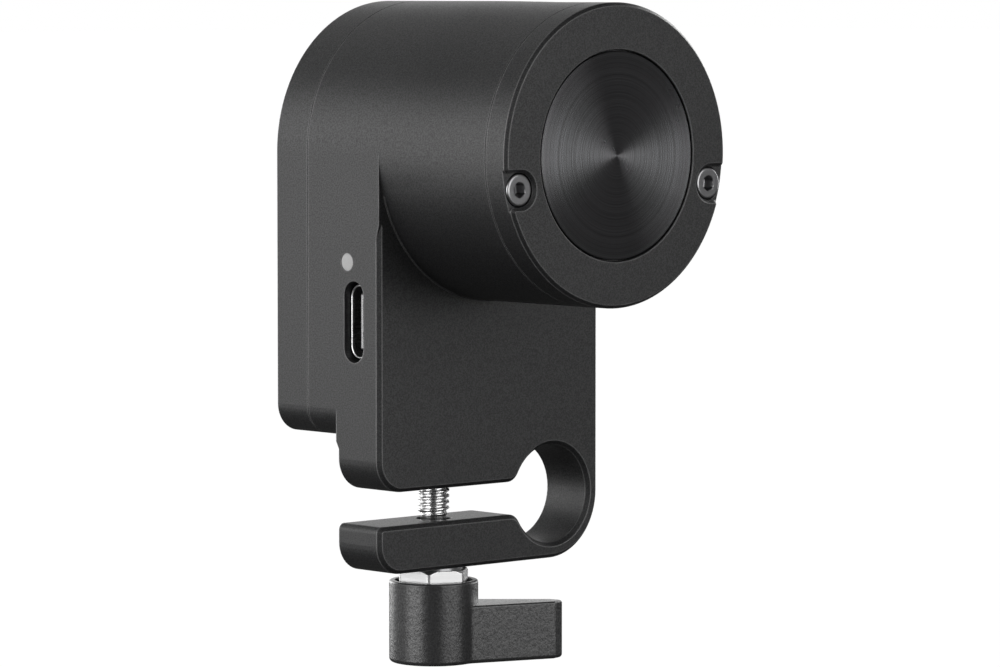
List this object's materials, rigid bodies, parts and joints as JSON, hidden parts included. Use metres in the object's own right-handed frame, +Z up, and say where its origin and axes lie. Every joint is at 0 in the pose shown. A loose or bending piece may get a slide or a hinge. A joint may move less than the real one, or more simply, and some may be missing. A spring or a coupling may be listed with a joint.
{
  "type": "lens focus motor",
  "caption": "Lens focus motor with a geared output, a rod clamp with a lever, and a USB-C socket.",
  "frame": {"origin": "on the axis of the rod bore, half way through the clamp block", "axes": "+Y along the rod, from the turned face disc towards the drive gear; +Z up, from the rod bore to the motor axis; the clamp's slit opens towards -X"},
  "size_m": [0.0358, 0.0464, 0.079],
  "materials": {
    "anodised_black": "fine bead-blasted black anodising",
    "turned_disc": "concentric turned rings under black anodising",
    "screw_steel": "machined steel, lightly oiled",
    "black_screw_steel": "black oxide",
    "lamp_diffuser": "milky diffuser",
    "led_package": "moulded lamp package",
    "circuit_board": "solder mask",
    "chip_black": "moulded epoxy",
    "socket_steel": "bright drawn sheet",
    "socket_plastic": "moulded insulator",
    "motor_steel": "zinc-plated sheet",
    "bearing_steel": "ground and polished",
    "core_steel": "stacked laminations",
    "copper_wire": "enamelled copper wire",
    "magnet_nickel": "nickel plating",
    "gear_steel": "hobbed and ground",
    "gear_plastic": "moulded acetal",
    "spacer_aluminium": "turned",
    "lever_black": "textured black coating",
    "hub_nickel": "bright nickel",
    "stud_steel": "rolled thread"
  },
  "bodies": {
    "root": {"main_housing": "anodised_black", "front_cap": "anodised_black", "rear_cover": "anodised_black", "face_disc": "turned_disc", "cap_screws": "screw_steel", "cover_screws": "black_screw_steel", "light_pipe": "lamp_diffuser", "status_led": "led_package", "main_board": "circuit_board", "board_screws": "screw_steel", "board_components": "chip_black", "usb_shell": "socket_steel", "usb_tongue": "socket_plastic", "motor_can": "motor_steel", "motor_end_bell": "motor_steel", "motor_bearings": "bearing_steel", "motor_screws": "screw_steel", "stator_core": "core_steel", "stator_coils": "copper_wire", "encoder_board": "circuit_board", "ring_gear": "gear_steel", "bearing_outer_ring": "bearing_steel"},
    "output": {"output_shaft": "gear_steel", "planet_pins": "bearing_steel", "drive_gear": "gear_plastic", "gear_spacer": "spacer_aluminium", "gear_washer": "screw_steel", "gear_screw": "screw_steel", "bearing_inner_ring": "bearing_steel"},
    "ball_set": {"bearing_balls": "bearing_steel", "ball_cage": "socket_steel"},
    "rotor": {"rotor_shaft": "bearing_steel", "rotor_magnet": "magnet_nickel", "sun_gear": "gear_steel", "encoder_magnet": "magnet_nickel"},
    "planet_1": {"planet_gear_1": "gear_steel"},
    "planet_2": {"planet_gear_2": "gear_steel"},
    "planet_3": {"planet_gear_3": "gear_steel"},
    "thrust_washer": {"clamp_washer": "screw_steel"},
    "clamp_screw": {"clamp_stud": "stud_steel", "clamp_hub": "hub_nickel", "lever_screw": "stud_steel", "lever_spring": "stud_steel"},
    "lever": {"clamp_lever": "lever_black"}
  },
  "joints": [
    {"name": "gear_spin", "type": "hinge", "parent": "root", "child": "output", "pos_m": [-0.01012, 0, 0.0418], "axis": [0, 1, 0], "continuous": true},
    {"name": "rotor_spin", "type": "hinge", "parent": "root", "child": "rotor", "pos_m": [-0.01012, 0, 0.0418], "axis": [0, 1, 0], "continuous": true},
    {"name": "ball_orbit", "type": "hinge", "parent": "root", "child": "ball_set", "pos_m": [-0.01012, 0, 0.0418], "axis": [0, 1, 0], "continuous": true},
    {"name": "planet_spin_1", "type": "hinge", "parent": "output", "child": "planet_1", "pos_m": [-0.01012, 0, 0.0493], "axis": [0, 1, 0], "continuous": true},
    {"name": "planet_spin_2", "type": "hinge", "parent": "output", "child": "planet_2", "pos_m": [-0.01662, 0, 0.03805], "axis": [0, 1, 0], "continuous": true},
    {"name": "planet_spin_3", "type": "hinge", "parent": "output", "child": "planet_3", "pos_m": [-0.00362, 0, 0.03805], "axis": [0, 1, 0], "continuous": true},
    {"name": "screw_travel", "type": "slide", "parent": "root", "child": "thrust_washer", "axis": [0, 0, -1], "range_m": [0, 0.0021]},
    {"name": "screw_turn", "type": "hinge", "parent": "thrust_washer", "child": "clamp_screw", "pos_m": [-0.01595, 0, -0.008], "axis": [0, 0, -1], "range_deg": [0, 1080]},
    {"name": "lever_lift", "type": "slide", "parent": "clamp_screw", "child": "lever", "axis": [0, 0, -1], "range_m": [0, 0.002], "stiffness_N_per_m": 400, "springref_m": -0.002, "deforming": ["lever_spring"]}
  ],
  "couplings": [
    {"joint": "rotor_spin", "follows": "gear_spin", "ratio": 4},
    {"joint": "ball_orbit", "follows": "gear_spin", "ratio": 0.41667},
    {"joint": "planet_spin_1", "follows": "gear_spin", "ratio": -3},
    {"joint": "planet_spin_2", "follows": "gear_spin", "ratio": -3},
    {"joint": "planet_spin_3", "follows": "gear_spin", "ratio": -3},
    {"joint": "screw_travel", "follows": "screw_turn", "m_per_rad": 0.00011141}
  ]
}
